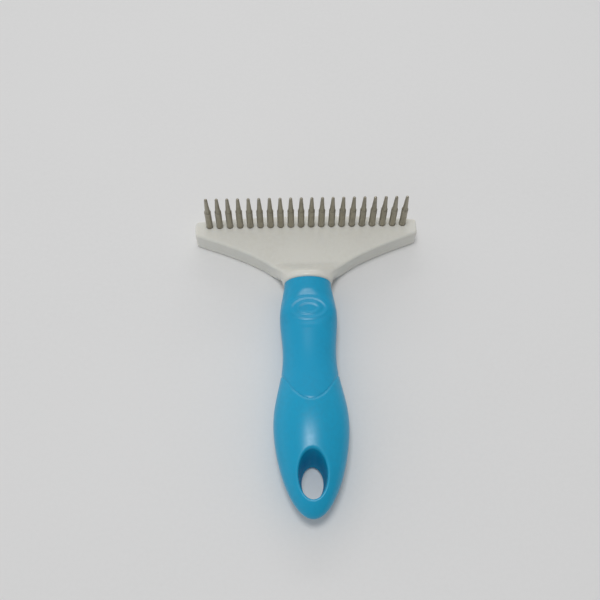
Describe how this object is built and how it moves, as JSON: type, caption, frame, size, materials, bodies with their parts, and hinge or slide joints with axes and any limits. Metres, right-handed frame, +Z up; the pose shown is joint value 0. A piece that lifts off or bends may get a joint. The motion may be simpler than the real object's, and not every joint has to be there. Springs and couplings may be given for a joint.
{
  "type": "undercoat rake",
  "caption": "Pet undercoat rake: a T-shaped head with one row of free-turning stepped pins, and a contoured handle with a hanging hole.",
  "frame": {"origin": "middle of the length and width, on the surface that the back of the rake lies on", "axes": "+X along the row of pins, +Y from the handle's end to the head, +Z up the pins, out of the working face"},
  "size_m": [0.109, 0.15, 0.038],
  "materials": {
    "head_plastic": "glossy moulded, off-white",
    "bulb_plastic": "satin moulded, bright blue",
    "soft_grip": "satin soft-touch, bright blue",
    "pin_metal": "turned steel, dull grey-brown"
  },
  "bodies": {
    "rake": {"head_frame": "head_plastic", "back_cover": "head_plastic", "handle_core": "bulb_plastic", "soft_sleeve": "soft_grip"},
    "pin_01": {"pin_01": "pin_metal"},
    "pin_02": {"pin_02": "pin_metal"},
    "pin_03": {"pin_03": "pin_metal"},
    "pin_04": {"pin_04": "pin_metal"},
    "pin_05": {"pin_05": "pin_metal"},
    "pin_06": {"pin_06": "pin_metal"},
    "pin_07": {"pin_07": "pin_metal"},
    "pin_08": {"pin_08": "pin_metal"},
    "pin_09": {"pin_09": "pin_metal"},
    "pin_10": {"pin_10": "pin_metal"},
    "pin_11": {"pin_11": "pin_metal"},
    "pin_12": {"pin_12": "pin_metal"},
    "pin_13": {"pin_13": "pin_metal"},
    "pin_14": {"pin_14": "pin_metal"},
    "pin_15": {"pin_15": "pin_metal"},
    "pin_16": {"pin_16": "pin_metal"},
    "pin_17": {"pin_17": "pin_metal"},
    "pin_18": {"pin_18": "pin_metal"},
    "pin_19": {"pin_19": "pin_metal"},
    "pin_20": {"pin_20": "pin_metal"}
  },
  "joints": [
    {"name": "pin_01_spin", "type": "hinge", "parent": "rake", "child": "pin_01", "pos_m": [-0.0475, 0.07, 0.012], "axis": [0, 0, 1], "continuous": true},
    {"name": "pin_02_spin", "type": "hinge", "parent": "rake", "child": "pin_02", "pos_m": [-0.0425, 0.07, 0.012], "axis": [0, 0, 1], "continuous": true},
    {"name": "pin_03_spin", "type": "hinge", "parent": "rake", "child": "pin_03", "pos_m": [-0.0375, 0.07, 0.012], "axis": [0, 0, 1], "continuous": true},
    {"name": "pin_04_spin", "type": "hinge", "parent": "rake", "child": "pin_04", "pos_m": [-0.0325, 0.07, 0.012], "axis": [0, 0, 1], "continuous": true},
    {"name": "pin_05_spin", "type": "hinge", "parent": "rake", "child": "pin_05", "pos_m": [-0.0275, 0.07, 0.012], "axis": [0, 0, 1], "continuous": true},
    {"name": "pin_06_spin", "type": "hinge", "parent": "rake", "child": "pin_06", "pos_m": [-0.0225, 0.07, 0.012], "axis": [0, 0, 1], "continuous": true},
    {"name": "pin_07_spin", "type": "hinge", "parent": "rake", "child": "pin_07", "pos_m": [-0.0175, 0.07, 0.012], "axis": [0, 0, 1], "continuous": true},
    {"name": "pin_08_spin", "type": "hinge", "parent": "rake", "child": "pin_08", "pos_m": [-0.0125, 0.07, 0.012], "axis": [0, 0, 1], "continuous": true},
    {"name": "pin_09_spin", "type": "hinge", "parent": "rake", "child": "pin_09", "pos_m": [-0.0075, 0.07, 0.012], "axis": [0, 0, 1], "continuous": true},
    {"name": "pin_10_spin", "type": "hinge", "parent": "rake", "child": "pin_10", "pos_m": [-0.0025, 0.07, 0.012], "axis": [0, 0, 1], "continuous": true},
    {"name": "pin_11_spin", "type": "hinge", "parent": "rake", "child": "pin_11", "pos_m": [0.0025, 0.07, 0.012], "axis": [0, 0, 1], "continuous": true},
    {"name": "pin_12_spin", "type": "hinge", "parent": "rake", "child": "pin_12", "pos_m": [0.0075, 0.07, 0.012], "axis": [0, 0, 1], "continuous": true},
    {"name": "pin_13_spin", "type": "hinge", "parent": "rake", "child": "pin_13", "pos_m": [0.0125, 0.07, 0.012], "axis": [0, 0, 1], "continuous": true},
    {"name": "pin_14_spin", "type": "hinge", "parent": "rake", "child": "pin_14", "pos_m": [0.0175, 0.07, 0.012], "axis": [0, 0, 1], "continuous": true},
    {"name": "pin_15_spin", "type": "hinge", "parent": "rake", "child": "pin_15", "pos_m": [0.0225, 0.07, 0.012], "axis": [0, 0, 1], "continuous": true},
    {"name": "pin_16_spin", "type": "hinge", "parent": "rake", "child": "pin_16", "pos_m": [0.0275, 0.07, 0.012], "axis": [0, 0, 1], "continuous": true},
    {"name": "pin_17_spin", "type": "hinge", "parent": "rake", "child": "pin_17", "pos_m": [0.0325, 0.07, 0.012], "axis": [0, 0, 1], "continuous": true},
    {"name": "pin_18_spin", "type": "hinge", "parent": "rake", "child": "pin_18", "pos_m": [0.0375, 0.07, 0.012], "axis": [0, 0, 1], "continuous": true},
    {"name": "pin_19_spin", "type": "hinge", "parent": "rake", "child": "pin_19", "pos_m": [0.0425, 0.07, 0.012], "axis": [0, 0, 1], "continuous": true},
    {"name": "pin_20_spin", "type": "hinge", "parent": "rake", "child": "pin_20", "pos_m": [0.0475, 0.07, 0.012], "axis": [0, 0, 1], "continuous": true}
  ]
}
